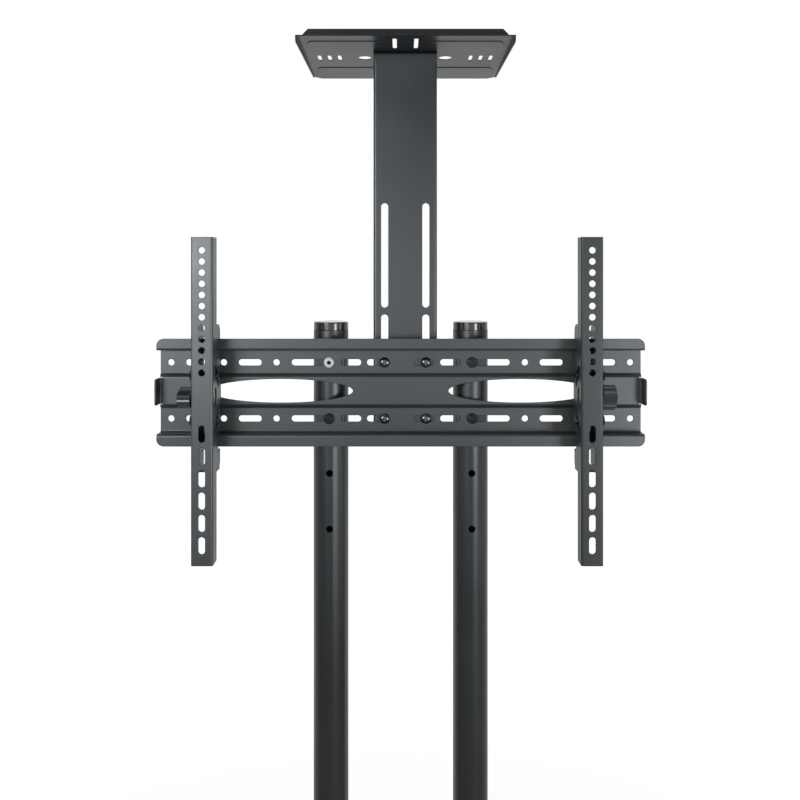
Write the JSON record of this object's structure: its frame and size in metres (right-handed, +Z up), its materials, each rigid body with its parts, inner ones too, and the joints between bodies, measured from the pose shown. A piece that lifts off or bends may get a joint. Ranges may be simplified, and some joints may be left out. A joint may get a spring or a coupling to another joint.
{
  "type": "display floor stand",
  "caption": "Free-standing display floor stand: round columns carry a slotted mounting rail with sliding, tilting screen arms and a height-adjustable camera shelf.",
  "frame": {"origin": "on the floor, under the middle of the whole stand", "axes": "+Z up, +X to the viewer's right when facing the screen side, +Y away from the screen side"},
  "size_m": [0.688, 0.606, 1.8574],
  "materials": {
    "base_coat": "satin black powder coat",
    "column_coat": "satin black powder coat",
    "rail_coat": "satin black powder coat",
    "post_coat": "satin black powder coat",
    "shelf_coat": "satin black powder coat",
    "arm_coat": "satin black powder coat",
    "bracket_coat": "satin black powder coat",
    "black_steel": "black oxide",
    "polished_screw": "polished dark zinc",
    "bright_zinc": "bright zinc",
    "cap_gloss": "glossy moulded black",
    "cap_plastic": "moulded black",
    "knob_plastic": "moulded black",
    "pad_rubber": "moulded black"
  },
  "bodies": {
    "floor_stand": {"base_beam": "base_coat", "left_leg": "base_coat", "right_leg": "base_coat", "leg_bolts": "black_steel", "leg_end_caps": "cap_plastic", "foot_pads": "pad_rubber", "left_column": "column_coat", "right_column": "column_coat", "column_foot_bolts": "black_steel", "column_foot_nuts": "black_steel", "left_column_cap": "cap_gloss", "right_column_cap": "cap_gloss"},
    "rail_carriage": {"mounting_rail": "rail_coat", "column_saddles": "rail_coat", "bright_column_bolt": "bright_zinc", "column_bolts": "black_steel", "post_screws": "polished_screw", "post_washers": "black_steel", "post_nuts": "black_steel"},
    "camera_carrier": {"camera_post": "post_coat", "camera_shelf": "shelf_coat", "shelf_screws": "black_steel", "shelf_nuts": "black_steel"},
    "left_carrier": {"left_hook_bracket": "bracket_coat", "left_guide_bolts": "black_steel", "left_guide_nuts": "black_steel", "left_weld_nut": "black_steel"},
    "left_arm": {"left_screen_arm": "arm_coat"},
    "left_knob": {"left_tilt_knob": "knob_plastic", "left_clamp_stud": "black_steel", "left_clamp_washer": "black_steel"},
    "left_lock": {"left_lock_screw": "black_steel"},
    "right_carrier": {"right_hook_bracket": "bracket_coat", "right_guide_bolts": "black_steel", "right_guide_nuts": "black_steel", "right_weld_nut": "black_steel"},
    "right_arm": {"right_screen_arm": "arm_coat"},
    "right_knob": {"right_tilt_knob": "knob_plastic", "right_clamp_stud": "black_steel", "right_clamp_washer": "black_steel"},
    "right_lock": {"right_lock_screw": "black_steel"}
  },
  "joints": [
    {"name": "mount_height", "type": "slide", "parent": "floor_stand", "child": "rail_carriage", "axis": [0, 0, 1], "range_m": [-0.16, 0]},
    {"name": "camera_height", "type": "slide", "parent": "rail_carriage", "child": "camera_carrier", "axis": [0, 0, 1], "range_m": [-0.062, 0]},
    {"name": "left_arm_slide", "type": "slide", "parent": "rail_carriage", "child": "left_carrier", "axis": [1, 0, 0], "range_m": [-0.056, 0.168]},
    {"name": "left_tilt", "type": "hinge", "parent": "left_carrier", "child": "left_arm", "pos_m": [-0.2677, -0.058, 1.3605], "axis": [1, 0, 0], "range_deg": [-12, 12]},
    {"name": "left_knob_turn", "type": "hinge", "parent": "left_carrier", "child": "left_knob", "pos_m": [-0.2677, -0.01604, 1.36241], "axis": [1, 0, 0], "continuous": true},
    {"name": "left_lock_turn", "type": "slide", "parent": "left_carrier", "child": "left_lock", "axis": [0, 0, 1], "range_m": [-0.006, 0]},
    {"name": "right_arm_slide", "type": "slide", "parent": "rail_carriage", "child": "right_carrier", "axis": [1, 0, 0], "range_m": [-0.158, 0.066]},
    {"name": "right_tilt", "type": "hinge", "parent": "right_carrier", "child": "right_arm", "pos_m": [0.258, -0.058, 1.3605], "axis": [1, 0, 0], "range_deg": [-12, 12]},
    {"name": "right_knob_turn", "type": "hinge", "parent": "right_carrier", "child": "right_knob", "pos_m": [0.258, -0.01604, 1.36241], "axis": [1, 0, 0], "continuous": true},
    {"name": "right_lock_turn", "type": "slide", "parent": "right_carrier", "child": "right_lock", "axis": [0, 0, 1], "range_m": [-0.006, 0]}
  ]
}
